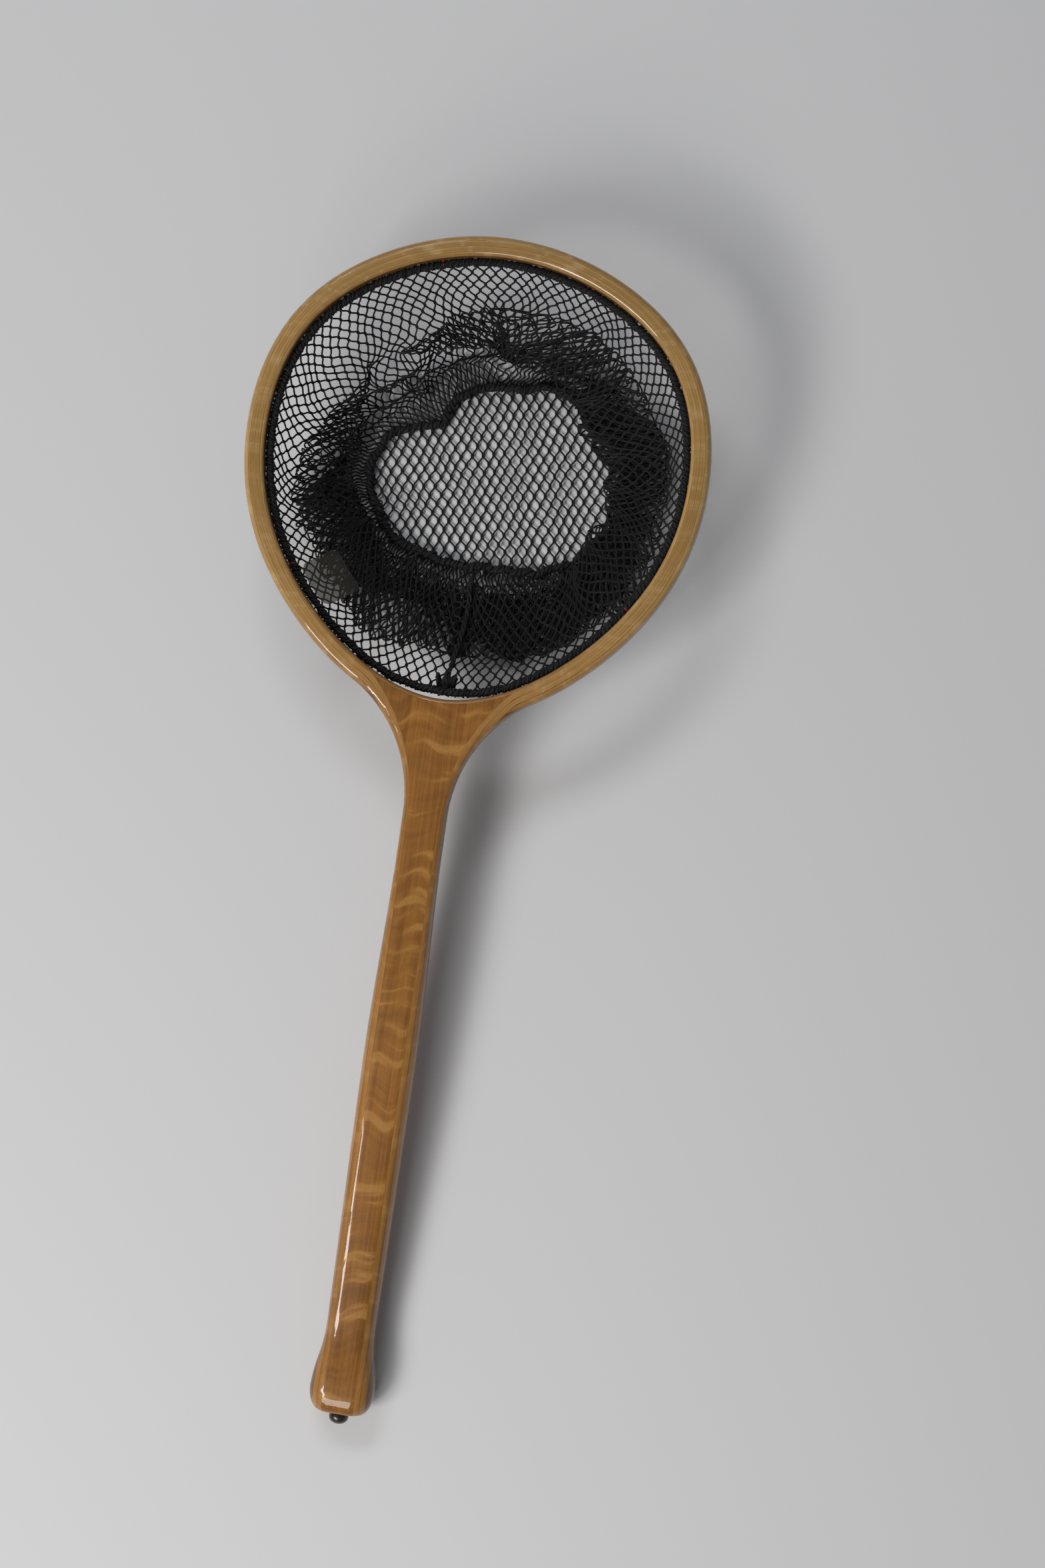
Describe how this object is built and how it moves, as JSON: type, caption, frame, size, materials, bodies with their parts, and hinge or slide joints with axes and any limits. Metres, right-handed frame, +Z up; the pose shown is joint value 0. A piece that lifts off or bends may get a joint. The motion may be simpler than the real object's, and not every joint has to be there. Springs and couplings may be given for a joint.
{
  "type": "landing net",
  "caption": "Hand landing net: long waisted wooden handle and a laminated pear-shaped hoop, laced with red thread to a deep bag of hexagonal black netting.",
  "frame": {"origin": "centre of the whole net's footprint, on the table it rests on", "axes": "+Y from the butt of the handle towards the hoop, +X to the right of the handle, +Z up; the plane of the hoop is tilted 6 degrees, rising towards +Y"},
  "size_m": [0.2658, 0.6754, 0.0895],
  "materials": {
    "handle_core": "figured honey-coloured maple under clear gloss varnish",
    "inner_strip": "bent strip under clear gloss varnish",
    "outer_strips": "bent strips under clear gloss varnish",
    "button": "dark brown-black, satin gloss",
    "stud": "plain turned stud, hidden",
    "lacing": "red twisted thread",
    "netting": "black knotless net",
    "tab": "smoky clear sheet"
  },
  "bodies": {
    "root": {"handle_core": "handle_core", "hoop_inner_ply": "inner_strip", "hoop_second_ply": "outer_strips", "hoop_third_ply": "outer_strips", "hoop_outer_ply": "outer_strips", "lanyard_button": "button", "button_stud": "stud", "lacing_thread": "lacing", "lacing_stitches": "lacing", "rim_rope": "netting", "bag_wall": "netting", "bag_bottom_panel": "netting", "bottom_seam": "netting", "side_seam": "netting", "seam_gather": "netting", "label_tab": "tab"}
  },
  "joints": []
}
